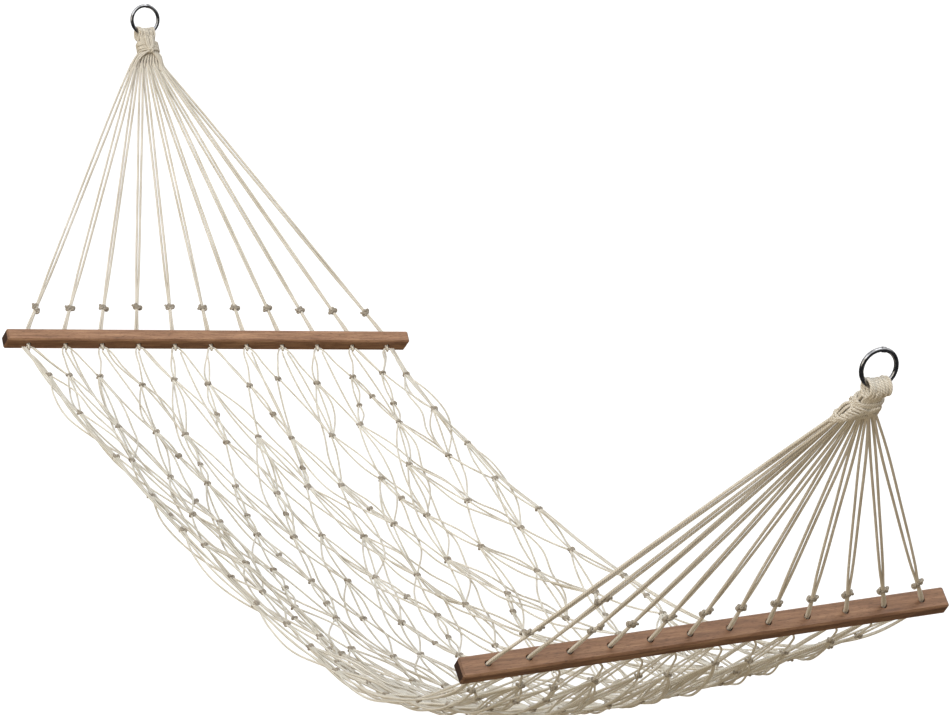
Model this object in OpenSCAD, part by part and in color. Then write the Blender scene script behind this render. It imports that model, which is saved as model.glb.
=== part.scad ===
// Rope hammock: a knotted diamond net between two drilled wooden spreader
// bars. Each bar is carried by a fan of doubled clew lines, which gather in
// a lashed harness that is served round the rod of a welded steel ring.
//
// Frame: two level hooks carry the rings. The X axis joins the two points
// where the hooks bear, the origin is midway between them, Y runs across,
// along the bars, and Z is up. The whole hammock hangs below the X axis.
// side = -1 is the left end, toward -X, and side = 1 is the right end.

/* [Spreader bars] */
// Distance between the two bars, centre to centre
bar_span = 1900; // [1750:10:2000]
// Length of each bar
bar_length = 800; // [760:5:860]
// Width of a bar, across its holes
bar_width = 34; // [28:1:40]
// Thickness of a bar, along its holes
bar_thickness = 24; // [18:1:30]
// Chamfer along the long edges and round the ends
bar_chamfer = 3; // [1:0.5:5]
// Diameter of the holes that the clew lines pass through
hole_diameter = 9.5; // [8.5:0.5:12]
// Depth of the eased rim of each hole
hole_rim = 1; // [0.5:0.5:2]
// From the end of a bar to the middle of its first hole
hole_margin = 43; // [35:1:60]

/* [Clew lines] */
// From the middle of a bar to the rod of its ring
fan_length = 690; // [600:5:760]
// Rise of the clew lines above level
fan_angle = 46; // [40:0.5:55]
// Diameter of all the cord
cord_diameter = 3.6; // [3:0.1:4]
// From a bar to the stopper knots above it
stopper_distance = 42; // [30:1:60]
// Diameter of each of a stopper knot's two lobes
stopper_lobe = 7.4; // [6:0.1:9]

/* [Rings and harnesses] */
// Outer diameter of a ring
ring_diameter = 60; // [50:1:70]
// Diameter of the ring's rod
rod_diameter = 6.6; // [5:0.2:8]
// Lean of the rings, away from the net
ring_lean = 8; // [0:1:20]
// Turn of the weld from the top of its ring
weld_turn = 10; // [0:1:60]
// Gap between the rod and the cord served round it
rod_clearance = 0.6; // [0.5:0.1:1]
// Length of a harness, from the rod to where the clew lines part
harness_length = 74; // [60:1:90]
// Width of a harness at its neck
neck_width = 38; // [34:1:44]
// Width of a harness where the clew lines part
skirt_width = 58; // [52:1:70]
// Thickness of a harness at its neck
harness_thickness = 20; // [16:1:24]

/* [Net] */
// From the net's first cords to the nearest row of knots, along X
first_row = 90; // [70:5:110]
// Diameter of each of a net knot's two lobes
knot_lobe = 8.4; // [7:0.1:10]
// How far the hand-tied knots stray from their rows
knot_wander = 10; // [0:1:14]
// Drop of the net's edges below the bars
edge_sag = 167; // [120:1:220]
// Extra drop along the middle of the net
bag_depth = 114; // [60:1:150]
// Share by which the drop grows toward the right bar
sag_skew = 0.56; // [0:0.02:0.6]
// Share by which the net leaves the bars more steeply than a parabola
end_fullness = 0.4; // [0:0.01:0.6]
// Inward draw of each edge at mid length
edge_draw = 25; // [10:1:60]
// Turn of each end about the X axis
end_twist = 3.2; // [0:0.1:5]

/* [Hidden] */
$fn = 48;
left_holes = 11;
knot_rows = 12;
serving_turns = [10, 7, 3];
weld_arc = 12;
weld_height = 0.7;
cord_gap = 0.2;
pivot_gap = 0.3;
seat = 2.5;
slice_height = 0.5;
lashing_bite = 0.4;
bend_ball = cord_diameter + 0.15;
bend_trim = 0.4;
bight_ball = 1.45 * cord_diameter;

cord_radius = cord_diameter / 2;
leg_offset = (cord_diameter + cord_gap) / 2;

ring_radius = (ring_diameter - rod_diameter) / 2;
rod_radius = rod_diameter / 2;
eye_z = -(2 * ring_radius - rod_radius) * cos(ring_lean);
bar_z = eye_z - fan_length * sin(fan_angle);
eye_x = bar_span / 2 + fan_length * cos(fan_angle);

hole_reach = bar_length / 2 - hole_margin;
loop_radius = cord_diameter + pivot_gap;
hinge_drop = bar_thickness / 2 + loop_radius + cord_radius + pivot_gap;
hinge_x = bar_span / 2 - hinge_drop * cos(fan_angle);
hinge_z = bar_z - hinge_drop * sin(fan_angle);
pin_half = cord_radius + bight_ball / 2 + 2 * pivot_gap;
edge_reach = pin_half + 4 * leg_offset + cord_radius;
row_pitch = 2 * (hinge_x - first_row) / (knot_rows - 1);

serving_radius = ring_radius - rod_radius - rod_clearance - cord_radius;
turn_pitch = cord_diameter + 0.05;
serving_half = serving_step(0) * (serving_turns[0] - 1) / 2;
eye_half = serving_radius * sin(serving_half) + cord_radius;
coil_radius = ring_radius - serving_radius * cos(serving_half) + cord_radius;
gather_drop = coil_radius - 1;
neck_drop = 0.45 * harness_length;
skirt_turn = harness_length - seat - cord_diameter;

cord_color = [0.87, 0.82, 0.73];
wood_color = [0.5, 0.35, 0.26];
steel_color = [0.42, 0.43, 0.45];

function row_name(i) = str("net_row_", i < 10 ? "0" : "", i);
function unit(v) = v / norm(v);
function turned(p, a) = [p.x, p.y * cos(a) - p.z * sin(a), p.y * sin(a) + p.z * cos(a)];

// ---- Places on an end: the holes in a bar and the tops of its clew lines

function hole_count(side) = side < 0 ? left_holes : left_holes + 1;
function spread(side, j) = 2 * j / (hole_count(side) - 1) - 1;
function hole_y(side, j) = hole_reach * spread(side, j);
function skirt_y(side, j) = (skirt_width / 2 - cord_diameter) * spread(side, j);

// ---- Places on the net: u runs from -1 at the left bar to 1 at the right
// bar, and v from -1 at the near edge to 1 at the far edge

function row_x(i) =
    i == 0 ? -hinge_x
    : i > knot_rows ? hinge_x
    : first_row - hinge_x + (i - 1) * row_pitch;

function net_drop(u, v) =
    (1 - u * u) * (edge_sag * (1 + end_fullness * u * u + sag_skew * u) + bag_depth * (1 - v * v));

function net_point(x, v, across = 0) =
    let (u = x / hinge_x)
    let (y = v * (hole_reach - edge_draw * (1 - u * u)) + across)
    turned([x, y, hinge_z - net_drop(u, v)], end_twist * u);

// An even row has as many knots as the left bar has holes, an odd row has one
// more, and their places slide evenly from the left bar's holes to the right's
function is_odd(i) = i % 2 == 1;
function row_count(i) = is_odd(i) ? left_holes + 1 : left_holes;
function even_place(j) = 2 * j / (left_holes - 1) - 1;
function odd_place(j) =
    j == 0 ? -1
    : j == left_holes ? 1
    : (even_place(j - 1) + even_place(j)) / 2;
function last_odd(j) = 2 * j / left_holes - 1;
function last_even(j) = (2 * j + 1) / left_holes - 1;
function row_place(i, j) =
    let (f = i / (knot_rows + 1))
    is_odd(i)
        ? (1 - f) * odd_place(j) + f * last_odd(j)
        : (1 - f) * even_place(j) + f * last_even(j);

function is_mouth(i) = i == 0 || i > knot_rows;
function is_edge(i, j) = is_odd(i) && (j == 0 || j == left_holes);
function stray(i, j, phase) = is_mouth(i) ? 0 : knot_wander * sin(137 * i + 223 * j + phase);
function knot_x(i, j) = row_x(i) + stray(i, j, 0);
function knot_y(i, j) = is_edge(i, j) ? 0 : 0.5 * stray(i, j, 71);

// Where a strand ends: way = -1 is a knot's near lobe or a mouth pin's near
// end, and way = 1 is the far one
function strand_end(i, j, way) =
    net_point(
        knot_x(i, j), row_place(i, j),
        knot_y(i, j) + way * (is_mouth(i) ? pin_half : leg_offset)
    );

// ---- Frames

module at_eye(side)
    rotate([side * end_twist, 0, 0])
        translate([side * eye_x, 0, eye_z])
            children();

// +Z runs up the clew lines to the rod of the ring, and the origin is there
module in_fan(side)
    at_eye(side)
        rotate([0, side * (90 - fan_angle), 0])
            children();

// ---- Cord shapes

module cord(from, to, d = cord_diameter) {
    run = to - from;
    translate(from)
        rotate([0, acos(run.z / norm(run)), atan2(run.y, run.x)])
            cylinder(h = norm(run), d = d);
}

// A cord through a list of points, with a ball at each bend
module cord_through(points) {
    last = len(points) - 1;
    for (k = [1:last]) {
        along = bend_trim * unit(points[k] - points[k - 1]);
        cord(points[k - 1] + (k > 1 ? along : 0 * along), points[k] - (k < last ? along : 0 * along));
    }
    for (k = [1:last - 1])
        translate(points[k])
            sphere(d = bend_ball);
}

// A smooth tube through a list of points that runs mainly along X
module swept_cord(points, sides = 12) {
    last = len(points) - 1;
    function heading(k) = unit(points[min(k + 1, last)] - points[max(k - 1, 0)]);
    function rim(k) =
        let (up = unit(cross(heading(k), [0, 1, 0])))
        let (side = cross(up, heading(k)))
        [for (s = [0:sides - 1]) points[k] + cord_radius * (cos(360 * s / sides) * up + sin(360 * s / sides) * side)];
    walls = [
        for (k = [1:last], s = [0:sides - 1])
            let (next = (s + 1) % sides)
            [sides * (k - 1) + s, sides * (k - 1) + next, sides * k + next, sides * k + s]
    ];
    ends = [[for (s = [sides - 1:-1:0]) s], [for (s = [0:sides - 1]) sides * last + s]];
    polyhedron(points = [for (k = [0:last]) each rim(k)], faces = concat(walls, ends));
}

// A closed turn of cord in the XZ plane
module cord_loop(radius)
    rotate([90, 0, 0])
        rotate_extrude()
            translate([radius, 0])
                circle(d = cord_diameter);

// A flat closed turn of cord in the XY plane, long in Y
module flat_turn(width, thickness) {
    straight = width - thickness;
    for (s = [-1, 1]) {
        translate([0, s * straight / 2, 0])
            rotate([0, 0, s > 0 ? 0 : 180])
                rotate_extrude(angle = 180)
                    translate([thickness / 2, 0])
                        circle(d = cord_diameter);
        translate([s * thickness / 2, straight / 2, 0])
            rotate([90, 0, 0])
                cylinder(h = straight, d = cord_diameter);
    }
}

// ---- Ring

module ring(side)
    color(steel_color)
        at_eye(side)
            rotate([0, side * ring_lean, 0])
                translate([0, 0, ring_radius])
                    rotate([0, -90, 0]) {
                        rotate_extrude($fn = 96)
                            translate([ring_radius, 0])
                                circle(r = rod_radius);
                        rotate([0, 0, weld_turn - weld_arc / 2])
                            rotate_extrude(angle = weld_arc, $fn = 96)
                                translate([ring_radius, 0])
                                    circle(r = rod_radius + weld_height);
                    }

// ---- Serving: turns of cord side by side on the rod, each as wide as the
// rod needs there when the ring swings about its eye, with fewer turns laid
// over them in two more layers that fill the waist to a fat coil

function layer_radius(layer) = serving_radius - layer * turn_pitch;
function serving_step(layer) = 360 * turn_pitch / (2 * PI * layer_radius(layer));

module serving(side)
    color(cord_color)
        in_fan(side)
            rotate([90, 0, 0])
                rotate_extrude()
                    for (layer = [0:len(serving_turns) - 1], k = [0:serving_turns[layer] - 1])
                        translate([ring_radius, 0])
                            rotate(180 + (k - (serving_turns[layer] - 1) / 2) * serving_step(layer))
                                translate([layer_radius(layer), 0])
                                    circle(d = cord_diameter);

// ---- Harness: the cords gathered below the serving, down to where they part

function below_neck(drop) = (drop - neck_drop) / (harness_length - neck_drop);
function harness_width(drop) = neck_width + (skirt_width - neck_width) * below_neck(drop);
function harness_depth(drop) =
    harness_thickness + (3 * cord_diameter - harness_thickness) * below_neck(drop);

// A thin slice of the gathered cords, with round ends, a given drop below the rod
module slice(width, thickness, drop)
    translate([0, 0, -drop])
        linear_extrude(height = slice_height, $fn = 32) {
            square([thickness, width - thickness], center = true);
            for (s = [-1, 1])
                translate([0, s * (width - thickness) / 2])
                    circle(d = thickness);
        }

module harness(side)
    color(cord_color)
        in_fan(side) {
            hull() {
                slice(2 * eye_half, 3 * cord_diameter, gather_drop);
                slice(neck_width, harness_thickness, neck_drop - 2 * cord_diameter);
            }
            hull() {
                slice(neck_width, harness_thickness, neck_drop - 2 * cord_diameter);
                slice(neck_width, harness_thickness, neck_drop);
            }
            hull() {
                slice(neck_width, harness_thickness, neck_drop);
                slice(skirt_width, 3 * cord_diameter, harness_length);
            }
        }

// ---- Lashing: turns round the neck and the skirt, crossed on both faces

module lashing_turn(drop)
    translate([0, 0, -drop])
        flat_turn(
            harness_width(drop) + cord_diameter - 2 * lashing_bite,
            harness_depth(drop) + cord_diameter - 2 * lashing_bite
        );

module lashing(side)
    color(cord_color)
        in_fan(side) {
            for (k = [0, 1]) {
                lashing_turn(neck_drop + k * (cord_diameter + cord_gap));
                lashing_turn(skirt_turn - k * (cord_diameter + cord_gap));
            }
            upper = neck_drop + cord_diameter;
            lower = skirt_turn - cord_diameter;
            for (face = [-1, 1], slant = [-1, 1])
                cord(
                    face_point(face, -slant, upper),
                    face_point(face, slant, lower)
                );
        }

// A point on the front or back of the gathered cords, near one of their sides
function face_point(face, way, drop) = [
    face * (harness_depth(drop) / 2 + cord_radius - lashing_bite),
    way * (harness_width(drop) - harness_depth(drop)) / 2,
    -drop
];

// ---- Clew lines: doubled cords, each from the harness through its hole in
// the bar to a loop below it, with a stopper knot above the bar

module clew_line(side, j) {
    layer = (is_odd(j) ? 1 : -1) * leg_offset;
    loop = [0, hole_y(side, j), -fan_length - hinge_drop];
    face = [0, hole_y(side, j), -fan_length + bar_thickness / 2];
    top = [layer, skirt_y(side, j), -harness_length + seat];
    run = top - face;
    for (s = [-1, 1]) {
        beside = s * leg_offset * [0, 1, -run.y / run.z];
        cord_through([loop + [0, beside.y, loop_radius], face + beside, top + beside]);
        translate(face + beside + stopper_distance * unit(run))
            sphere(d = stopper_lobe);
    }
    translate(loop)
        cord_loop(loop_radius);
}

module clew_lines(side)
    color(cord_color)
        in_fan(side)
            for (j = [0:hole_count(side) - 1])
                clew_line(side, j);

// ---- Spreader bar

module chamfered_block(x, y, height)
    linear_extrude(height = height, center = true)
        polygon([
            for (q = [[1, 1], [-1, 1], [-1, -1], [1, -1]], first = [true, false])
                let (along_x = first == (q.x * q.y > 0))
                [
                    q.x * (x / 2 - (along_x ? 0 : bar_chamfer)),
                    q.y * (y / 2 - (along_x ? bar_chamfer : 0))
                ]
        ]);

module bar_blank()
    intersection() {
        chamfered_block(bar_width, bar_length, bar_thickness);
        rotate([90, 0, 0])
            chamfered_block(bar_width, bar_thickness, bar_length);
        rotate([90, 0, 90])
            chamfered_block(bar_length, bar_thickness, bar_width);
    }

module eased_hole() {
    cylinder(h = bar_thickness + 1, d = hole_diameter, center = true);
    for (end = [0, 180])
        rotate([end, 0, 0])
            translate([0, 0, bar_thickness / 2 - hole_rim])
                cylinder(h = hole_rim + 0.1, d1 = hole_diameter, d2 = hole_diameter + 2 * hole_rim);
}

module spreader_bar(side)
    color(wood_color)
        in_fan(side)
            translate([0, 0, -fan_length])
                difference() {
                    bar_blank();
                    for (j = [0:hole_count(side) - 1])
                        translate([0, hole_y(side, j), 0])
                            eased_hole();
                }

// ---- Net: each row has the strands from the row before it, and its knots

module mouth_pin(i, j) {
    near = j == 0 ? edge_reach : pin_half;
    far = j == row_count(i) - 1 ? edge_reach : pin_half;
    cord(
        net_point(row_x(i), row_place(i, j), -near),
        net_point(row_x(i), row_place(i, j), far)
    );
    for (way = [-1, 1])
        translate(strand_end(i, j, way))
            sphere(d = bight_ball);
}

// Strand 0 of an even row's knot goes to the near side, and strand 1 to the far
function column(i, j, side) = is_odd(i) ? j + side : j;
function way(i, side) = is_odd(i) ? 1 - 2 * side : 2 * side - 1;

module strand(i, j, side) {
    start = strand_end(i - 1, column(i - 1, j, side), way(i - 1, side));
    finish = strand_end(i, column(i, j, side), way(i, side));
    run = unit(finish - start);
    cord(
        start + run * (is_mouth(i - 1) ? cord_radius : knot_lobe / 2 - seat),
        finish - run * (is_mouth(i) ? cord_radius : 0)
    );
}

module knot(i, j)
    for (way = [-1, 1])
        translate(strand_end(i, j, way))
            sphere(d = knot_lobe);

// The edge cords take the place of row 1's outermost strands
module net_row(i)
    color(cord_color) {
        for (j = [0:left_holes - 1], side = [0, 1])
            if (i > 1 || !is_edge(i, column(i, j, side)))
                strand(i, j, side);
        for (row = [i - 1, i], j = [0:row_count(row) - 1])
            if (is_mouth(row))
                mouth_pin(row, j);
            else if (row == i)
                knot(row, j);
    }

// The doubled cords along one edge, through the outer lobes of its knots
function edge_x(i, edge) = is_odd(i) ? knot_x(i, edge < 0 ? 0 : left_holes) : row_x(i);
module edge_cords(edge)
    color(cord_color)
        for (across = [leg_offset, 3 * leg_offset])
            swept_cord([
                for (i = [0:knot_rows + 1])
                    net_point(
                        edge_x(i, edge), edge,
                        edge * (across + (is_mouth(i) ? pin_half + leg_offset : 0))
                    )
            ]);

ring(-1);  // left_ring
serving(-1);  // left_serving
harness(-1);  // left_harness
lashing(-1);  // left_lashing
clew_lines(-1);  // left_clew_lines
spreader_bar(-1);  // left_spreader_bar
for (i = [1:knot_rows + 1])
    net_row(i);
edge_cords(-1);  // near_edge_cords
edge_cords(1);  // far_edge_cords
spreader_bar(1);  // right_spreader_bar
clew_lines(1);  // right_clew_lines
lashing(1);  // right_lashing
harness(1);  // right_harness
serving(1);  // right_serving
ring(1);  // right_ring
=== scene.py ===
import math

import bpy
import numpy as np
from mathutils import Matrix, Vector


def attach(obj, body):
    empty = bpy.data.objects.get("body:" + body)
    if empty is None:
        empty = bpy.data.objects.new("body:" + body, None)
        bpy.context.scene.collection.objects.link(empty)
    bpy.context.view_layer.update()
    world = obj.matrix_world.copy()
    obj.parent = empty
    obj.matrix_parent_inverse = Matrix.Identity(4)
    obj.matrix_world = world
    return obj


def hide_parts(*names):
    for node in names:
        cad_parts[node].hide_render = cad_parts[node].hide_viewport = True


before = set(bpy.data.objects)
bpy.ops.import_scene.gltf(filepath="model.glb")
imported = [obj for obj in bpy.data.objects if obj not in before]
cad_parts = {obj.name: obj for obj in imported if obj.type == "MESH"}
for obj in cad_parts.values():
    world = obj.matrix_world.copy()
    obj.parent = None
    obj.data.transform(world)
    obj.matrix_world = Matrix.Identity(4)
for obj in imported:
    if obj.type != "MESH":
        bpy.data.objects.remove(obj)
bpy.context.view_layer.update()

# ---- Camera ----------------------------------------------------------------
# A long lens looks from off the right end, a little above the hooks, so both
# spreader bars and both rings show, and the camera is rolled very slightly.
camera_place = (6.15786, -2.79264, 1.27278)
camera_turn = math.radians(65.119)
camera_tilt = math.radians(76.508)
camera_roll = math.radians(2.982)

lens = bpy.data.cameras.new("camera")
lens.lens = 158.96
lens.sensor_width = 36
lens.shift_x = 0.00689
lens.shift_y = -0.00011
camera = bpy.data.objects.new("camera", lens)
camera.matrix_world = (
    Matrix.Translation(camera_place)
    @ Matrix.Rotation(camera_turn, 4, "Z")
    @ Matrix.Rotation(camera_tilt, 4, "X")
    @ Matrix.Rotation(camera_roll, 4, "Z")
)
bpy.context.collection.objects.link(camera)
bpy.context.scene.camera = camera

# ---- Floor and light -------------------------------------------------------
# A pale studio floor lies a metre and a half below the hooks, under wide soft
# lamps in front, overhead and at the near side. It looks white, throws a dim
# warm light up under the cords, and shows dark in the steel, as the walls do.
bpy.context.scene.view_settings.view_transform = "Standard"

floor_height = -1.5
floor_reach = 60
floor_seen = (0.88, 0.88, 0.88)
floor_bounce = (0.44, 0.362, 0.255)
floor_in_rings = (0.07, 0.07, 0.075)
floor_lift = 0.42
wall_glow = 0.25
ceiling_start, ceiling_full = 0.2, 0.55
ceiling_dark, ceiling_bright = 0.05, 1.5


def add_node(tree, kind, **settings):
    """A shader node of one kind. A setting names a property or an input socket."""
    node = tree.nodes.new("ShaderNode" + kind)
    for key, value in settings.items():
        if hasattr(node, key):
            setattr(node, key, value)
        else:
            node.inputs[key.replace("_", " ")].default_value = value
    return node


def new_material(name):
    """An empty material, its node tree and its output node."""
    material = bpy.data.materials.new(name)
    material.use_nodes = True
    material.node_tree.nodes.clear()
    return material, material.node_tree, add_node(material.node_tree, "OutputMaterial")


floor_mesh = bpy.data.meshes.new("floor")
corners = [
    (x * floor_reach, y * floor_reach, floor_height)
    for x, y in ((-1, -1), (1, -1), (1, 1), (-1, 1))
]
floor_mesh.from_pydata(corners, [], [(0, 1, 2, 3)])
floor = bpy.data.objects.new("floor", floor_mesh)
bpy.context.collection.objects.link(floor)

floor_paint, tree, output = new_material("white_floor")
ray = add_node(tree, "LightPath")
bounced = add_node(tree, "MixRGB", Color1=(*floor_bounce, 1), Color2=(*floor_in_rings, 1))
tree.links.new(ray.outputs["Is Glossy Ray"], bounced.inputs["Fac"])
paint = add_node(tree, "MixRGB", Color2=(*floor_seen, 1))
tree.links.new(ray.outputs["Is Camera Ray"], paint.inputs["Fac"])
tree.links.new(bounced.outputs[0], paint.inputs["Color1"])
matt = add_node(tree, "BsdfDiffuse")
tree.links.new(paint.outputs[0], matt.inputs["Color"])
lift = add_node(tree, "Emission")
lift_strength = add_node(tree, "Math", operation="MULTIPLY")
lift_strength.inputs[1].default_value = floor_lift
tree.links.new(ray.outputs["Is Camera Ray"], lift_strength.inputs[0])
tree.links.new(lift_strength.outputs[0], lift.inputs["Strength"])
both = add_node(tree, "AddShader")
tree.links.new(matt.outputs[0], both.inputs[0])
tree.links.new(lift.outputs[0], both.inputs[1])
tree.links.new(both.outputs[0], output.inputs["Surface"])
floor_mesh.materials.append(floor_paint)

for name, energy, width, tint, source in (
    ("front_lamp", 1.1, 40, (0.97, 0.985, 1.0), (0.60, -0.45, 0.66)),
    ("overhead_lamp", 1.0, 30, (0.97, 0.985, 1.0), (0.30, 0.22, 0.92)),
    ("side_lamp", 1.8, 60, (1.0, 0.92, 0.79), (0.35, -0.93, 0.10)),
):
    lamp = bpy.data.lights.new(name, "SUN")
    lamp.energy = energy
    lamp.angle = math.radians(width)
    lamp.color = tint
    lamp_stand = bpy.data.objects.new(name, lamp)
    lamp_stand.rotation_euler = Vector(source).to_track_quat("Z", "Y").to_euler()
    bpy.context.collection.objects.link(lamp_stand)

walls = bpy.data.worlds.new("white_walls")
walls.use_nodes = True
tree = walls.node_tree
tree.nodes.clear()
output = add_node(tree, "OutputWorld")
glow = add_node(tree, "Background", Color=(1, 1, 1, 1))
ray = add_node(tree, "LightPath")
direction = add_node(tree, "TexCoord")
height = add_node(tree, "SeparateXYZ")
tree.links.new(direction.outputs["Generated"], height.inputs[0])
ceiling = add_node(
    tree, "MapRange",
    From_Min=ceiling_start, From_Max=ceiling_full, To_Min=ceiling_dark, To_Max=ceiling_bright,
)
tree.links.new(height.outputs["Z"], ceiling.inputs["Value"])
mirrored = add_node(tree, "Mix", data_type="FLOAT", A=wall_glow)
tree.links.new(ray.outputs["Is Glossy Ray"], mirrored.inputs["Factor"])
tree.links.new(ceiling.outputs["Result"], mirrored.inputs["B"])
fill = add_node(tree, "Mix", data_type="FLOAT", B=1.0)
tree.links.new(ray.outputs["Is Camera Ray"], fill.inputs["Factor"])
tree.links.new(mirrored.outputs["Result"], fill.inputs["A"])
tree.links.new(fill.outputs["Result"], glow.inputs["Strength"])
tree.links.new(glow.outputs[0], output.inputs["Surface"])
bpy.context.scene.world = walls

# ---- Rings -----------------------------------------------------------------
# Each ring is bent from steel rod, welded shut near its top and dull-plated.
# It hangs from its hook and turns freely inside the cord served round it.


def add_ramp(tree, *stops):
    """A colour ramp through stops of a position and a colour, from low to high."""
    ramp = add_node(tree, "ValToRGB")
    elements = ramp.color_ramp.elements
    while len(elements) < len(stops):
        elements.new(0.5)
    for k, (position, colour) in enumerate(stops):
        elements[k].position = position
        elements[k].color = (*colour, 1)
    return ramp


def dull_steel():
    """Plated steel, mottled where the plating has dulled, with fine pits."""
    material, tree, output = new_material("dark_steel")
    place = add_node(tree, "TexCoord")
    plating = add_node(tree, "TexNoise", Scale=160, Detail=6, Roughness=0.6)
    tree.links.new(place.outputs["Object"], plating.inputs["Vector"])
    tone = add_ramp(tree, (0.35, (0.13, 0.13, 0.135)), (0.72, (0.44, 0.44, 0.45)))
    tree.links.new(plating.outputs["Fac"], tone.inputs["Fac"])
    polish = add_node(tree, "MapRange", To_Min=0.1, To_Max=0.3)
    tree.links.new(plating.outputs["Fac"], polish.inputs["Value"])
    pits = add_node(tree, "TexNoise", Scale=900, Detail=3)
    tree.links.new(place.outputs["Object"], pits.inputs["Vector"])
    bump = add_node(tree, "Bump", Strength=0.25, Distance=0.0003)
    tree.links.new(pits.outputs["Fac"], bump.inputs["Height"])
    steel = add_node(tree, "BsdfPrincipled", Metallic=1.0)
    tree.links.new(tone.outputs[0], steel.inputs["Base Color"])
    tree.links.new(polish.outputs["Result"], steel.inputs["Roughness"])
    tree.links.new(bump.outputs[0], steel.inputs["Normal"])
    tree.links.new(steel.outputs[0], output.inputs["Surface"])
    return material


def dress(node, material):
    """Gives a node of the frame its finish."""
    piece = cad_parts[node]
    piece.data.materials.clear()
    piece.data.materials.append(material)


steel_finish = dull_steel()
dress("left_ring", steel_finish)
dress("right_ring", steel_finish)

# ---- Spreader bars ---------------------------------------------------------
# Each bar is a planed length of stained hardwood with chamfered edges, drilled
# across for the clew lines and finished with a thin oil that leaves it matt.
# The right bar is painted darker as painted shade. The ends are darker end grain plus painted shade.
end_twist = math.radians(3.2)
fan_angle = math.radians(46)
side_names = {-1: "left", 1: "right"}
# Painted shade: the right bar's stain colours are darkened, because it takes more lamp light.
painted_shade_lightness = {-1: 1.0, 1: 0.80}
stain_stops = (
    (0.34, (0.165, 0.076, 0.036)),
    (0.5, (0.32, 0.166, 0.088)),
    (0.66, (0.50, 0.29, 0.165)),
)


def stained_wood(side):
    """Stained wood whose grain runs along one bar, with open pores."""
    material, tree, output = new_material("stained_wood_" + side_names[side])
    place = add_node(tree, "TexCoord")
    along = add_node(tree, "Mapping", vector_type="TEXTURE")
    along.inputs["Rotation"].default_value = (side * end_twist, side * (math.pi / 2 - fan_angle), 0)
    tree.links.new(place.outputs["Object"], along.inputs["Vector"])

    def stretched(scale, across, lengthwise):
        """A noise drawn out along the grain."""
        run = add_node(tree, "Mapping")
        run.inputs["Scale"].default_value = (across, lengthwise, across)
        tree.links.new(along.outputs[0], run.inputs["Vector"])
        grain = add_node(tree, "TexNoise", Scale=scale, Detail=7, Roughness=0.62, Distortion=0.4)
        tree.links.new(run.outputs[0], grain.inputs["Vector"])
        return grain

    figure = stretched(9, 9, 0.9)
    streaks = stretched(30, 8, 0.35)
    pores = stretched(120, 9, 0.8)
    blend = add_node(tree, "Math", operation="MULTIPLY_ADD")
    blend.inputs[1].default_value = 0.45
    tree.links.new(figure.outputs["Fac"], blend.inputs[0])
    part = add_node(tree, "Math", operation="MULTIPLY")
    part.inputs[1].default_value = 0.55
    tree.links.new(streaks.outputs["Fac"], part.inputs[0])
    tree.links.new(part.outputs[0], blend.inputs[2])
    stops = [
        (position, [channel * painted_shade_lightness[side] for channel in colour])
        for position, colour in stain_stops
    ]
    stain = add_ramp(tree, *stops)
    tree.links.new(blend.outputs[0], stain.inputs["Fac"])
    pore_mask = add_ramp(tree, (0.36, (0.35, 0.3, 0.28)), (0.46, (1, 1, 1)))
    tree.links.new(pores.outputs["Fac"], pore_mask.inputs["Fac"])
    shade = add_node(tree, "MixRGB", blend_type="MULTIPLY", Fac=0.75)
    tree.links.new(stain.outputs[0], shade.inputs["Color1"])
    tree.links.new(pore_mask.outputs[0], shade.inputs["Color2"])
    oil = add_node(tree, "MapRange", To_Min=0.5, To_Max=0.72)
    tree.links.new(streaks.outputs["Fac"], oil.inputs["Value"])
    bump = add_node(tree, "Bump", Strength=0.35, Distance=0.0006)
    tree.links.new(pores.outputs["Fac"], bump.inputs["Height"])
    # Painted shade and darker end grain: the bar's end faces are multiplied nearly to black.
    bar_way = add_node(tree, "VectorMath", operation="DOT_PRODUCT")
    bar_way.inputs[1].default_value = (0, math.cos(end_twist), side * math.sin(end_twist))
    tree.links.new(place.outputs["Normal"], bar_way.inputs[0])
    facing_out = add_node(tree, "Math", operation="ABSOLUTE")
    tree.links.new(bar_way.outputs["Value"], facing_out.inputs[0])
    end_grain = add_node(tree, "MapRange", From_Min=0.6, From_Max=0.9)
    tree.links.new(facing_out.outputs[0], end_grain.inputs["Value"])
    end_grain_and_painted_shade = add_node(tree, "MixRGB", blend_type="MULTIPLY", Color2=(0.16, 0.13, 0.12, 1))
    tree.links.new(end_grain.outputs["Result"], end_grain_and_painted_shade.inputs["Fac"])
    tree.links.new(shade.outputs[0], end_grain_and_painted_shade.inputs["Color1"])
    wood = add_node(tree, "BsdfPrincipled")
    tree.links.new(end_grain_and_painted_shade.outputs[0], wood.inputs["Base Color"])
    tree.links.new(oil.outputs["Result"], wood.inputs["Roughness"])
    tree.links.new(bump.outputs[0], wood.inputs["Normal"])
    tree.links.new(wood.outputs[0], output.inputs["Surface"])
    return material


for side, end in side_names.items():
    dress(end + "_spreader_bar", stained_wood(side))

# ---- Serving on the rings --------------------------------------------------
# Cotton cord is wound side by side round the rod of each ring, in three layers
# of fewer and fewer turns, where the harness hangs. The outer layers sag a
# little. The cord is three strands laid up together, soft, with a short nap.
cord_radius = 0.0018
nap = 0.00035
lay_length = 0.0115
ring_radius = 0.0267
rod_radius = 0.0033
ring_lean = math.radians(8)
fan_length = 0.690
bar_span = 1.900
eye_x = bar_span / 2 + fan_length * math.cos(fan_angle)
eye_z = -(2 * ring_radius - rod_radius) * math.cos(ring_lean)
serving_turns = (10, 7, 3)
turn_pitch = 2 * cord_radius + 0.00005
rod_clearance = 0.0006
layer_sag = 0.0026
layer_shift = 2.1
steps_a_turn = 26
tip_reach = 0.6
tip_girth = 0.55
luck = np.random.default_rng(41)


def turned(points, angle):
    """Points turned about the line between the two hooks."""
    x, y, z = np.moveaxis(np.asarray(points, float), -1, 0)
    c, s = math.cos(angle), math.sin(angle)
    return np.stack([x, y * c - z * s, y * s + z * c], axis=-1)


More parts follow.
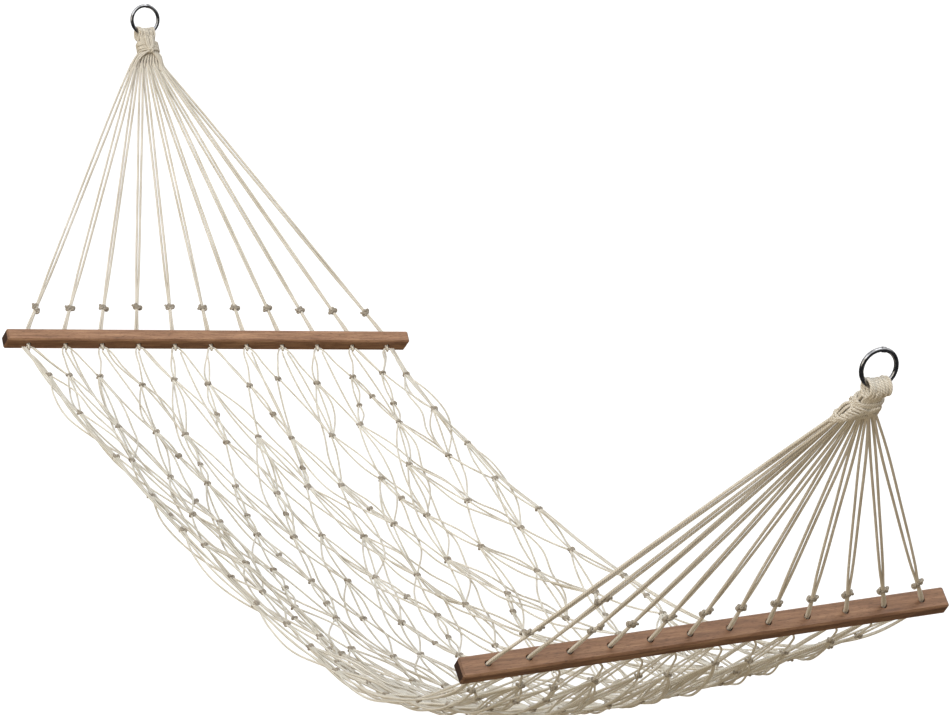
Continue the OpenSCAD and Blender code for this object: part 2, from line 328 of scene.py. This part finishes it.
def in_fan(side, points):
    """From a fan's own frame, with the eye at its origin and Z up the fan."""
    x, y, z = np.moveaxis(np.asarray(points, float), -1, 0)
    slope = side * (math.pi / 2 - fan_angle)
    c, s = math.cos(slope), math.sin(slope)
    hung = np.stack([x * c + z * s + side * eye_x, y, z * c - x * s + eye_z], axis=-1)
    return turned(hung, side * end_twist)


def eased(points, spacing):
    """A smooth path through the points, made of evenly spaced points."""
    p = np.asarray(points, float)
    gap = np.linalg.norm(np.diff(p, axis=0), axis=1)
    start = np.r_[0, np.cumsum(gap)]
    slope = np.diff(p, axis=0) / gap[:, None]
    weight = (gap[1:] / (gap[:-1] + gap[1:]))[:, None]
    heading = np.vstack([slope[:1], slope[:-1] * weight + slope[1:] * (1 - weight), slope[-1:]])
    t = np.linspace(0, start[-1], max(3, math.ceil(start[-1] / spacing) + 1))
    k = np.clip(np.searchsorted(start, t, "right") - 1, 0, len(gap) - 1)
    length = gap[k][:, None]
    u = ((t - start[k]) / gap[k])[:, None]
    return (
        (2 * u**3 - 3 * u**2 + 1) * p[k] + (u**3 - 2 * u**2 + u) * length * heading[k]
        + (3 * u**2 - 2 * u**3) * p[k + 1] + (u**3 - u**2) * length * heading[k + 1]
    )


def cord_skin(path, radius, sides):
    """Corners, faces and lay of one cord along a path, with rounded ends."""
    ahead = np.gradient(path, axis=0)
    ahead /= np.linalg.norm(ahead, axis=1)[:, None]
    up = np.cross(ahead[0], [0.31, 0.89, 0.33])
    up /= np.linalg.norm(up)
    ups = []
    for tangent in ahead:
        up = up - tangent * (up @ tangent)
        up /= np.linalg.norm(up)
        ups.append(up)
    ups = np.array(ups)
    beside = np.cross(ahead, ups)
    tip = tip_reach * radius
    centres = np.vstack([path[0] - tip * ahead[0], path, path[-1] + tip * ahead[-1]])
    ups = np.vstack([ups[:1], ups, ups[-1:]])
    beside = np.vstack([beside[:1], beside, beside[-1:]])
    girth = np.full(len(centres), radius)
    girth[[0, -1]] *= tip_girth
    turn = np.linspace(0, 2 * math.pi, sides, endpoint=False)
    spokes = np.cos(turn)[:, None] * ups[:, None] + np.sin(turn)[:, None] * beside[:, None]
    corners = (centres[:, None] + girth[:, None, None] * spokes).reshape(-1, 3)
    travelled = np.r_[0, np.cumsum(np.linalg.norm(np.diff(centres, axis=0), axis=1))] / lay_length
    travelled += luck.random()
    k, s = np.meshgrid(np.arange(len(centres) - 1), np.arange(sides), indexing="ij")
    k, s = k.ravel(), s.ravel()
    n = (s + 1) % sides
    quads = np.stack([sides * k + s, sides * k + n, sides * (k + 1) + n, sides * (k + 1) + s], axis=1)
    round_it = np.stack([s, s + 1, s + 1, s], axis=1) / sides
    along_it = np.stack([travelled[k], travelled[k], travelled[k + 1], travelled[k + 1]], axis=1)
    lay = np.stack([round_it, along_it], axis=2)
    return corners, quads, lay


def cord_piece(name, paths, material, radius=cord_radius + nap, sides=8):
    """One piece made of cords along paths, with the lay of their strands as UVs."""
    corners, quads, lays, ends, end_lays = [], [], [], [], []
    first = 0
    for path in paths:
        points, faces, lay = cord_skin(np.asarray(path, float), radius, sides)
        corners.append(points)
        quads.append(faces + first)
        lays.append(lay)
        last = first + len(points)
        ends += [np.arange(first + sides - 1, first - 1, -1), np.arange(last - sides, last)]
        end_lays += [np.full((sides, 2), lay[0, 0]), np.full((sides, 2), lay[-1, -1])]
        first = last
    corners = np.vstack(corners)
    quads = np.vstack(quads)
    loops = np.r_[quads.ravel(), np.concatenate(ends)]
    starts = np.r_[np.arange(len(quads)) * 4, len(quads) * 4 + np.arange(len(ends)) * sides]
    mesh = bpy.data.meshes.new(name)
    mesh.vertices.add(len(corners))
    mesh.vertices.foreach_set("co", corners.ravel())
    mesh.loops.add(len(loops))
    mesh.loops.foreach_set("vertex_index", loops.astype(np.int32))
    mesh.polygons.add(len(starts))
    mesh.polygons.foreach_set("loop_start", starts.astype(np.int32))
    mesh.update(calc_edges=True)
    uv = mesh.uv_layers.new(name="lay")
    uv.data.foreach_set("uv", np.vstack([np.vstack(lays).reshape(-1, 2), np.vstack(end_lays)]).ravel())
    mesh.validate()
    mesh.shade_smooth()
    mesh.materials.append(material)
    piece = bpy.data.objects.new(name, mesh)
    bpy.context.collection.objects.link(piece)
    return piece


def cotton_cord(name, painted_light_level, tint):
    """Laid cotton cord. A lower painted light level darkens it as painted shade, a higher one lightens it as
    painted light, and a lower tint is warmer.
    """
    material, tree, output = new_material(name)
    lay = add_node(tree, "UVMap", uv_map="lay")
    parts = add_node(tree, "SeparateXYZ")
    tree.links.new(lay.outputs[0], parts.inputs[0])
    spiral = add_node(tree, "Math", operation="ADD")
    tree.links.new(parts.outputs["X"], spiral.inputs[0])
    tree.links.new(parts.outputs["Y"], spiral.inputs[1])
    phase = add_node(tree, "Math", operation="MULTIPLY")
    phase.inputs[1].default_value = 3 * math.pi
    tree.links.new(spiral.outputs[0], phase.inputs[0])
    wave = add_node(tree, "Math", operation="SINE")
    tree.links.new(phase.outputs[0], wave.inputs[0])
    crown = add_node(tree, "Math", operation="ABSOLUTE")
    tree.links.new(wave.outputs[0], crown.inputs[0])

    place = add_node(tree, "TexCoord")
    bale = add_node(tree, "TexNoise", Scale=14, Detail=3)
    tree.links.new(place.outputs["Object"], bale.inputs["Vector"])
    fibre = add_node(tree, "TexNoise", Scale=1500, Detail=4, Roughness=0.7)
    tree.links.new(place.outputs["Object"], fibre.inputs["Vector"])
    yarn = add_ramp(
        tree,
        (0.3, (0.73 * painted_light_level, 0.675 * painted_light_level * tint, 0.57 * painted_light_level * tint**2)),
        (0.7, (0.90 * painted_light_level, 0.86 * painted_light_level * tint, 0.775 * painted_light_level * tint**2)),
    )
    tree.links.new(bale.outputs["Fac"], yarn.inputs["Fac"])
    # Painted shade: the grooves between the strands are darkened where the strands shade each other.
    painted_groove_shade = add_ramp(tree, (0.05, (0.58, 0.50, 0.41)), (0.55, (1, 1, 1)))
    tree.links.new(crown.outputs[0], painted_groove_shade.inputs["Fac"])
    shade = add_node(tree, "MixRGB", blend_type="MULTIPLY", Fac=1)
    tree.links.new(yarn.outputs[0], shade.inputs["Color1"])
    tree.links.new(painted_groove_shade.outputs[0], shade.inputs["Color2"])
    fleck = add_node(tree, "MapRange", To_Min=0.8, To_Max=1.15)
    tree.links.new(fibre.outputs["Fac"], fleck.inputs["Value"])
    flecked = add_node(tree, "VectorMath", operation="SCALE")
    tree.links.new(shade.outputs[0], flecked.inputs[0])
    tree.links.new(fleck.outputs["Result"], flecked.inputs["Scale"])

    height = add_node(tree, "Math", operation="MULTIPLY_ADD")
    height.inputs[1].default_value = 0.18
    tree.links.new(fibre.outputs["Fac"], height.inputs[0])
    tree.links.new(crown.outputs[0], height.inputs[2])
    bump = add_node(tree, "Bump", Strength=0.8, Distance=0.0005)
    tree.links.new(height.outputs[0], bump.inputs["Height"])
    fluff = add_node(
        tree, "BsdfPrincipled",
        Roughness=0.92, Specular_IOR_Level=0.15, Sheen_Weight=0.12, Sheen_Roughness=0.5,
    )
    tree.links.new(flecked.outputs[0], fluff.inputs["Base Color"])
    tree.links.new(bump.outputs[0], fluff.inputs["Normal"])
    tree.links.new(fluff.outputs[0], output.inputs["Surface"])
    return material


cotton = cotton_cord("cotton_cord", 1.0, 1.0)


def hang(piece, body, *nodes):
    """A cotton piece that moves with a body and stands for nodes of the frame."""
    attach(piece, body)
    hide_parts(*nodes)


def serving_layer(layer, turns):
    """The winding of one layer of the serving, each slung a little below the last."""
    layer_radius = ring_radius - rod_radius - rod_clearance - cord_radius - layer * turn_pitch
    t = np.linspace(-0.5, turns - 0.5, steps_a_turn * turns + 1)
    bearing = turn_pitch / layer_radius * (t - (turns - 1) / 2)
    reach = ring_radius - layer_radius * np.cos(bearing)
    wind = 2 * math.pi * t + layer_shift * layer
    return np.stack([
        reach * np.sin(wind),
        layer_radius * np.sin(bearing),
        reach * np.cos(wind) - layer_sag * layer,
    ], axis=-1)


for side, end in side_names.items():
    windings = [in_fan(side, serving_layer(layer, turns)) for layer, turns in enumerate(serving_turns)]
    hang(cord_piece(end + "_serving_turns", windings, cotton), end + "_end", end + "_serving")

# ---- Harnesses -------------------------------------------------------------
# The cotton clew lines run up through the harness in three layers, drawn in to
# a tight neck, and turn over the rod of the ring under the serving. Below the
# neck the skirt opens into the fan, and hangs a little to the near side.
harness_length = 0.074
neck_width = 0.038
skirt_width = 0.068
near_lean = {-1: -0.008, 1: -0.005}
flare_slope = 0.0157
harness_thickness = 0.020
neck_drops = {-1: 0.043, 1: 0.033}
cord_sway = 0.0004
hole_counts = {-1: 11, 1: 12}
hole_reach = 0.357
leg_offset = 0.0019
cord_step = 0.003


def below_neck(side, drop):
    """How far down the skirt a drop below the eye is, from 0 to 1."""
    return (drop - neck_drops[side]) / (harness_length - neck_drops[side])


def harness_width(side, drop):
    """How wide a harness is at a drop below its eye."""
    return neck_width + (skirt_width - neck_width) * max(0, below_neck(side, drop))


def harness_depth(side, drop):
    """How thick a harness is from face to face at a drop below its eye."""
    return harness_thickness + (6 * cord_radius - harness_thickness) * max(0, below_neck(side, drop))


def spread(side, j):
    """Where line j lies along its bar, from -1 at the near end to 1."""
    return 2 * j / (hole_counts[side] - 1) - 1


def skirt_place(side, j):
    """Where line j leaves the skirt, across the harness."""
    return (skirt_width / 2 - 2 * cord_radius) * spread(side, j) + near_lean[side]


def harness_cord(side, layer, j):
    """One cord of a harness, from the rod down to the clew line that it becomes."""
    place = spread(side, j)
    skirt = skirt_place(side, j)
    in_neck = place * (neck_width / 2 - cord_radius)
    sway = luck.uniform(-cord_sway, cord_sway, 4)
    deep = layer * (harness_thickness / 2 - cord_radius) * math.sqrt(max(0, 1 - abs(place) ** 3))
    turned_over = leg_offset if j % 2 else -leg_offset
    flared = skirt + flare_slope * (hole_reach * place - skirt)
    return eased([
        [layer * 0.0088, place * 0.0150, -0.0105],
        [deep + sway[0], 0.95 * in_neck, -0.018],
        [deep + sway[1], in_neck + sway[2], -0.026],
        [deep, in_neck + sway[3], -neck_drops[side]],
        [layer * 0.0062, place * 0.0240 + 0.45 * near_lean[side], -neck_drops[side] - 0.013],
        [layer * 0.0034, skirt, -harness_length + 0.003],
        [turned_over + layer * 0.0004, flared, -harness_length - 0.008],
    ], cord_step)


for side, end in side_names.items():
    cords = [
        in_fan(side, harness_cord(side, layer, j))
        for layer in (-1, 0, 1) for j in range(hole_counts[side])
    ]
    hang(cord_piece(end + "_harness_cords", cords, cotton), end + "_end", end + "_harness")

# ---- Lashings --------------------------------------------------------------
# A length of cotton cord binds each harness: it goes round the neck and is
# laced across both faces, pulled a little way into the cords. The left one ends
# in a knot in front, and the right one also goes twice round the skirt.
lashing_bite = 0.0004
lashing_pitch = 2 * cord_radius + 0.0001
lashing_growth = 2 * cord_radius - 2 * lashing_bite
neck_turns = {-1: 6, 1: 3}
first_turn_drops = {-1: neck_drops[-1] - 0.0165, 1: neck_drops[1] - 0.0045}
skirt_turns = {-1: 0, 1: 2}
lowest_turn_drop = harness_length - 0.0061
front_knot_drop = 0.048
front_knot_size = 0.0085
front_knot_lift = 0.0055
girdle_steps = 56
girdle_flatness = 2.8
knot_points = 34
knot_depth = 1.25


def girdle(width, depth, drop, tilt):
    """A turn of cord round a harness, flat on its faces and round at its sides."""
    around = np.linspace(0, 2 * math.pi, girdle_steps + 1)
    c, s = np.cos(around), np.sin(around)
    girth = (np.abs(c) ** girdle_flatness + np.abs(s) ** girdle_flatness) ** (-1 / girdle_flatness)
    return np.stack([depth / 2 * girth * c, width / 2 * girth * s, -drop + tilt * s], axis=-1)


def overhand(centre, size, facing, roll):
    """A closed knot of one cord, size across, seen along facing."""
    t = np.linspace(0, 2 * math.pi, knot_points)
    facing = np.asarray(facing, float) / np.linalg.norm(facing)
    across = np.cross(facing, [0.12, 0.98, 0.15])
    across /= np.linalg.norm(across)
    over = np.cross(facing, across)
    c, s = math.cos(roll), math.sin(roll)
    loops = (
        np.outer(np.sin(t) + 2 * np.sin(2 * t), c * across + s * over)
        + np.outer(np.cos(t) - 2 * np.cos(2 * t), c * over - s * across)
        + np.outer(-knot_depth * np.sin(3 * t), facing)
    )
    return np.asarray(centre, float) + size / 6 * loops


def on_face(side, face, route):
    """A cord laid on a harness face through places of lift, across and drop."""
    return eased([
        [
            face * (harness_depth(side, drop) / 2 + cord_radius - lashing_bite + lift),
            across + near_lean[side] * max(0, below_neck(side, drop)),
            -drop,
        ]
        for lift, across, drop in route
    ], cord_step)


# Two pairs of cord come down the left front side by side and cross over.
crossed_pairs = [
    [
        (0.0040, way * lane, 0.018), (0.0036, way * lane, 0.026), (0.0034, 0.9 * way * lane, 0.038),
        (0.0030 + 0.0007 * way, way * (lane - 0.005), 0.048),
        (0.0014 + 0.0007 * way, -way * (0.010 + lane), 0.057),
        (0.0006, -way * (0.0175 + lane), 0.066),
        (-0.002, -way * (0.0225 + 0.8 * lane), 0.076),
        (-0.0045, -way * (0.026 + 0.6 * lane), 0.086),
    ]
    for way in (-1, 1) for lane in (0.0024, 0.0063)
]
# Three cords slant down the right front to the near side, two slant the other
# way beneath them, and six short ones lie like laces along the near edge.
slanted = [
    [
        (0.0030, 0.012, 0.034 + lane), (0.0026, 0.000, 0.041 + lane), (0.0022, -0.014, 0.050 + lane),
        (0.0012, -0.027, 0.060 + lane), (-0.002, -0.034, 0.064 + lane),
    ]
    for lane in (0, 0.0038, 0.0076)
]
slanted_beneath = [
    [
        (0.0024, -0.011, 0.037 + lane), (0.0012, 0.003, 0.046 + lane),
        (0.0004, 0.017, 0.058 + lane), (-0.002, 0.026, 0.066 + lane),
    ]
    for lane in (0, 0.0040)
]
laces = [
    [
        (0.0034, -0.004 - 0.0036 * k, 0.0385 + 0.0046 * k),
        (0.0018, -0.012 - 0.0032 * k, 0.0350 + 0.0050 * k),
        (-0.003, -0.020 - 0.0026 * k, 0.0345 + 0.0056 * k),
    ]
    for k in range(6)
]
front_routes = {-1: crossed_pairs, 1: slanted + slanted_beneath + laces}
# Two pairs cross on the back of each harness.
back_routes = [
    [
        (0.0016 * slant * (0 < f < 1), slant * (2 * f - 1) * (0.018 + 0.012 * f), 0.040 + 0.026 * f + lane)
        for f in (0, 0.25, 0.5, 0.75, 1)
    ]
    for slant in (-1, 1) for lane in (0, 0.0038)
]

for side, end in side_names.items():
    turns = []
    for k in range(neck_turns[side]):
        drop, tilt = first_turn_drops[side] + k * lashing_pitch, luck.uniform(-0.0014, 0.0014)
        turns.append(girdle(neck_width + lashing_growth, harness_thickness + lashing_growth, drop, tilt))
    for k in range(skirt_turns[side]):
        drop, tilt = lowest_turn_drop - k * lashing_pitch, luck.uniform(0.0005, 0.002)
        width, depth = harness_width(side, drop) + lashing_growth, harness_depth(side, drop) + lashing_growth
        turns.append(girdle(width, depth, drop, tilt) + [0, near_lean[side], 0])
    turns += [on_face(side, 1, route) for route in front_routes[side]]
    turns += [on_face(side, -1, route) for route in back_routes]
    if side < 0:
        front_knot = [harness_thickness / 2 + front_knot_lift, 0.0, -front_knot_drop]
        turns.append(overhand(front_knot, front_knot_size, (1, 0, 0), 0.6))
    lashing = cord_piece(end + "_lashing_turns", [in_fan(side, path) for path in turns], cotton)
    hang(lashing, end + "_end", end + "_lashing")

# ---- Clew lines ------------------------------------------------------------
# Each clew line is one cotton cord, doubled. It goes down through its hole, round
# the net's bight below the bar and back up, and each leg is knotted above the
# bar. The knots are painted darker and warmer as painted shade, and each has
# slipped its own way up.
bar_thickness = 0.024
loop_radius = 0.0039
hinge_drop = bar_thickness / 2 + loop_radius + cord_radius + 0.0003
bight_opening = 38
stopper_distance = 0.042
stopper_size = 0.0104
stopper_offset = 1.9 * leg_offset
parting = {-1: (0.0004, 0.0018), 1: (0.0014, 0.0028)}
line_step = 0.0022
common_slip = 0.0165
# How much farther than that the near and the far knot of a line have slipped.
knot_slips = {
    -1: {0: (0.004, -0.002)},
    1: {
        0: (0.030, 0.046), 1: (0.099, 0.114), 2: (-0.002, 0.012), 3: (0.003, 0.003), 4: (0.002, 0.011),
        5: (0.001, 0.010), 6: (0.003, 0), 7: (0.003, 0), 10: (-0.002, -0.005), 11: (0.001, 0.010),
    },
}
# Painted shade: a darker, warmer copy of the cotton for knots, where tight turns shade each other.
knot_cotton_painted_shade = cotton_cord("knot_cord_painted_shade", 0.55, 0.95)


def clew_line(side, j):
    """One clew line, the place of its knots, and the ways up it and across it."""
    hole = hole_reach * spread(side, j)
    layer = (1 if j % 2 else -1) * leg_offset
    loop = np.array([0, hole, -fan_length - hinge_drop])
    face = np.array([0, hole, -fan_length + bar_thickness / 2])
    top = np.array([layer, skirt_place(side, j), -harness_length + 0.0015])
    run = top - face
    up_line = run / np.linalg.norm(run)
    beside = np.cross([1, 0, 0], up_line)
    beside *= -1 if beside[1] < 0 else 1
    knot_at = face + stopper_distance * up_line
    around = np.radians(np.linspace(bight_opening, 360 - bight_opening, 13))
    bight = loop + np.stack([
        loop_radius * np.sin(around), -leg_offset * np.cos(around / 2), loop_radius * np.cos(around),
    ], axis=-1)
    part_by = luck.uniform(*parting[side])
    legs = []
    for s in (-1, 1):
        own = luck.uniform(-0.0008, 0.0008, 2)
        legs.append([
            loop + [0, s * leg_offset, loop_radius + 0.006],
            face + s * leg_offset * beside + [0, 0, -0.004],
            face + s * leg_offset * beside + 0.5 * (knot_at - face) + [own[0], 0, 0],
            knot_at + 0.6 * s * leg_offset * beside,
            knot_at + 0.16 * (top - knot_at) + s * (leg_offset + 0.5 * part_by) * beside + [own[1], 0, 0],
            knot_at + 0.5 * (top - knot_at) + s * (leg_offset + part_by) * beside + [own[0], 0, 0],
            knot_at + 0.86 * (top - knot_at) + s * (leg_offset + 0.5 * part_by + 0.0008) * beside,
            knot_at + 0.95 * (top - knot_at) + s * (leg_offset + 0.0006) * beside,
            top + s * 0.8 * leg_offset * beside,
        ])
    doubled = np.vstack([legs[0][::-1], bight, legs[1]])
    return eased(doubled, line_step), knot_at, up_line, beside


for side, end in side_names.items():
    lines, knots = [], []
    for j in range(hole_counts[side]):
        line, knot_at, up_line, beside = clew_line(side, j)
        lines.append(in_fan(side, line))
        for s, own_slip in zip((-1, 1), knot_slips[side].get(j, (0, 0))):
            slip = luck.uniform(-0.0015, 0.0015) + own_slip + common_slip
            centre = knot_at + s * stopper_offset * beside + slip * up_line
            knot = overhand(centre, stopper_size, (1, 0.15 * s, 0.1), luck.uniform(-0.8, 0.8))
            knots.append(in_fan(side, knot))
    hang(cord_piece(end + "_clew_cords", lines, cotton), end + "_end", end + "_clew_lines")
    hang(cord_piece(end + "_stopper_knots", knots, knot_cotton_painted_shade), end + "_end", end + "_clew_lines")

# ---- Net -------------------------------------------------------------------
# The net is tied by hand from cotton cord in rows of open diamonds. A bight of
# each first and last mesh passes through the loop of a clew line. Many meshes
# have a second cord, tied to the first on the way or passing a knot by.
bar_z = eye_z - fan_length * math.sin(fan_angle)
hinge_x = bar_span / 2 - hinge_drop * math.cos(fan_angle)
hinge_z = bar_z - hinge_drop * math.sin(fan_angle)
first_row = 0.090
knot_rows = 12
row_pitch = 2 * (hinge_x - first_row) / (knot_rows - 1)
knot_wander = 0.010
edge_sag = 0.167
bag_depth = 0.114
sag_skew = 0.56
end_fullness = 0.40
edge_draw = 0.025
pin_half = 0.00501
left_holes = hole_counts[-1]
net_cord_radius = 0.0017
strand_step = 0.006
strand_bow = 0.0028
strand_sag = 0.005
knot_sizes = (0.0100, 0.0122)
tie_sizes = (0.0085, 0.0105)
tied_share = 0.14
doubled_share = 0.22
doubled_parting = (0.008, 0.018)
crowded_row = 9
open_passing_share = 0.55
crowded_passing_share = 0.95
passing_parting = (0.010, 0.034)
bight_reach = 0.47
left_bypass_share = 0.45
right_bypass_share = 0.9
# Painted light: a lighter copy of the cotton for the net and edge cords, lifting their shaded sides.
net_cotton_painted_light = cotton_cord("net_cord", 1.06, 1.02)


def net_point(x, v, across=0.0):
    """A place on the net at x, v from -1 at the near edge to 1 at the far one."""
    u = x / hinge_x
    drop = (1 - u * u) * (edge_sag * (1 + end_fullness * u * u + sag_skew * u) + bag_depth * (1 - v * v))
    return turned([x, v * (hole_reach - edge_draw * (1 - u * u)) + across, hinge_z - drop], end_twist * u)


def is_mouth(i):
    """Whether row i is one of bights at a bar, not of knots."""
    return i == 0 or i > knot_rows


def row_count(i):
    """How many knots row i has."""
    return left_holes + i % 2


def row_x(i):
    """Where row i lies along the net."""
    if is_mouth(i):
        return -hinge_x if i == 0 else hinge_x
    return first_row - hinge_x + (i - 1) * row_pitch


def row_place(i, j):
    """Where knot j of row i lies across the net, from -1 to 1."""
    f = i / (knot_rows + 1)
    if i % 2:
        first = min(1.0, max(-1.0, (2 * j - 1) / (left_holes - 1) - 1))
        return (1 - f) * first + f * (2 * j / left_holes - 1)
    return (1 - f) * (2 * j / (left_holes - 1) - 1) + f * ((2 * j + 1) / left_holes - 1)


def is_edge(i, j):
    """Whether knot j of row i is tied round the edge cords."""
    return i % 2 == 1 and j in (0, left_holes)


def stray(i, j, phase):
    """How far a knot tied by eye lies from its even place."""
    return 0 if is_mouth(i) else knot_wander * math.sin(math.radians(137 * i + 223 * j + phase))


def knot_x(i, j):
    """Where knot j of row i lies along the net."""
    return row_x(i) + stray(i, j, 0)


def strand_end(i, j, way):
    """Where a cord enters knot j of row i, at its near side, middle or far side."""
    across = 0 if is_edge(i, j) else 0.5 * stray(i, j, 71)
    return net_point(knot_x(i, j), row_place(i, j), across + way * (pin_half if is_mouth(i) else leg_offset))


def level_across(run):
    """A level direction across the run of a cord."""
    return np.cross(run / np.linalg.norm(run), [0, 0, 1])


def slack_strand(start, finish, bow, sag):
    """A cord between two knots that bows to one side and hangs a little."""
    run = finish - start
    f = np.array([0, 0.12, 0.32, 0.5, 0.7, 0.88, 1])[:, None]
    belly = 4 * f * (1 - f)
    lean = luck.uniform(-0.25, 0.25) * np.sin(2 * math.pi * f)
    path = start + run * f + (belly + lean) * bow * level_across(run) - belly * sag * np.array([0, 0, 1])
    return eased(path, strand_step)


def tied_pair(start, finish, bow, sag):
    """Two cords between the same two knots, tied together on the way."""
    run = finish - start
    sideways = level_across(run)
    f = luck.uniform(0.38, 0.62)
    tie = start + f * run + bow * sideways - np.array([0, 0, sag])
    pair = []
    for way in (-1, 1):
        part_by = way * luck.uniform(0.002, 0.006)
        pair.append(eased([
            start, (start + tie) / 2 + (part_by + 0.5 * bow) * sideways, tie + 0.0016 * way * sideways,
            (tie + finish) / 2 + (part_by + 0.5 * bow) * sideways, finish,
        ], strand_step))
    return pair, tie


def passing_strand(start, beside, finish, part_by):
    """A cord that goes on past a knot and is tied in at the row after it."""
    sideways = level_across(finish - start)
    return eased([
        start,
        (start + beside) / 2 + luck.uniform(0.7, 1.0) * part_by * sideways,
        beside + part_by * sideways - np.array([0, 0, 0.003]),
        (finish + beside) / 2 + luck.uniform(0.7, 1.0) * part_by * sideways,
        finish,
    ], strand_step)


def net_knot(centre, sizes):
    """A knot of the net, of a size between two, turned as it came."""
    return overhand(centre, luck.uniform(*sizes), luck.normal([0, 0, 1], 0.25), luck.uniform(-0.6, 0.6))


def mesh_sides(i, j):
    """The start and finish of the two cords between rows i - 1 and i at mesh j."""
    sides = []
    for s in (0, 1):
        here, there = (j + s, j) if i % 2 else (j, j + s)
        way = 1 - 2 * s if i % 2 else 2 * s - 1
        sides.append((strand_end(i - 1, there, -way), strand_end(i, here, way)))
    return sides


def extra_cords(i, start, finish, last, bow, sag):
    """What lies beside one cord: its double, and cords on to knot last of the next row."""
    cords = []
    if luck.random() < doubled_share:
        part_by = luck.choice([-1, 1]) * luck.uniform(*doubled_parting)
        cords.append(slack_strand(start, finish, bow + part_by, sag + luck.uniform(0, 0.004)))
    crowded = i >= crowded_row
    if not is_mouth(i + 1) and 0 < last < row_count(i + 1) - 1:
        for way in (-1, 1) * (2 if crowded else 1):
            if luck.random() < (crowded_passing_share if crowded else open_passing_share):
                part_by = way * luck.uniform(*passing_parting)
                cords.append(passing_strand(start, finish, strand_end(i + 1, last, 0), part_by))
    return cords


def mouth_cords(j, bight_ends, knot_ends, beyond, bypass_share):
    """The bight in a clew line's loop, and a cord tied in at each side of it."""
    middle = (bight_ends[0] + bight_ends[1]) / 2
    tuck = (bight_ends[1] - bight_ends[0]) * bight_reach
    arms = []
    for way, knot_end in zip((-1, 1), knot_ends):
        pin_end = middle + way * tuck
        run = knot_end - pin_end
        bow = luck.normal(0, 0.002)
        arms.append([
            pin_end, pin_end + way * 0.35 * tuck + 0.045 * run,
            pin_end + 0.5 * run + bow * level_across(run), knot_end,
        ])
    cords = [eased(np.vstack([arms[0][::-1], arms[1]]), cord_step)]
    for way, knot_end in zip((-1, 1), knot_ends):
        reached = strand_end(beyond, j, way) if luck.random() < bypass_share else knot_end
        tied_at = middle + 1.1 * way * tuck + 0.05 * (reached - middle)
        cords.append(slack_strand(tied_at, reached, luck.uniform(-0.009, 0.009), luck.uniform(0, 0.004)))
    return cords


for i in range(1, knot_rows + 2):
    strands, knots = [], []
    for j in range(left_holes):
        sides = mesh_sides(i, j)
        for s, (start, finish) in enumerate(sides):
            # A mouth row makes no use of these, but drawing them keeps the later luck.
            bow, sag = luck.normal(0, strand_bow), luck.uniform(0.0, strand_sag)
            if is_mouth(i - 1) or is_mouth(i):
                continue
            if luck.random() < tied_share:
                pair, tie = tied_pair(start, finish, bow, sag)
                strands += pair
                knots.append(net_knot(tie, tie_sizes))
            else:
                last = j - 1 + 2 * s if i % 2 else j + 1 - s
                strands.append(slack_strand(start, finish, bow, sag))
                strands += extra_cords(i, start, finish, last, bow, sag)
        starts, finishes = zip(*sides)
        if is_mouth(i - 1):
            strands += mouth_cords(j, starts, finishes, 2, left_bypass_share)
        elif is_mouth(i):
            strands += mouth_cords(j, finishes, starts, knot_rows - 1, right_bypass_share)
    if not is_mouth(i):
        for j in range(row_count(i)):
            centre = (strand_end(i, j, -1) + strand_end(i, j, 1)) / 2
            knots.append(net_knot(centre, knot_sizes))
    name = f"net_row_{i:02d}"
    hang(cord_piece(name + "_strands", strands, net_cotton_painted_light, net_cord_radius), "net", name)
    if knots:
        hang(cord_piece(name + "_knots", knots, knot_cotton_painted_shade), "net", name)

# ---- Edge cords ------------------------------------------------------------
# Along each side of the net two cotton cords run from bar to bar through the
# outer knots of its rows, and carry the edge so that the meshes don't tear.
for edge, label in ((-1, "near"), (1, "far")):
    runs = []
    for lane in (1, 3):
        points = []
        for i in range(knot_rows + 2):
            x = knot_x(i, 0 if edge < 0 else left_holes) if i % 2 else row_x(i)
            loose = 0 if i % 2 or is_mouth(i) else luck.uniform(-0.004, 0.005)
            across = lane * leg_offset + (pin_half + leg_offset if is_mouth(i) else 0) + loose
            points.append(net_point(x, edge, edge * across) - [0, 0, abs(loose)])
        runs.append(eased(points, strand_step))
    hang(cord_piece(label + "_edge_runs", runs, net_cotton_painted_light, net_cord_radius), "net", label + "_edge_cords")
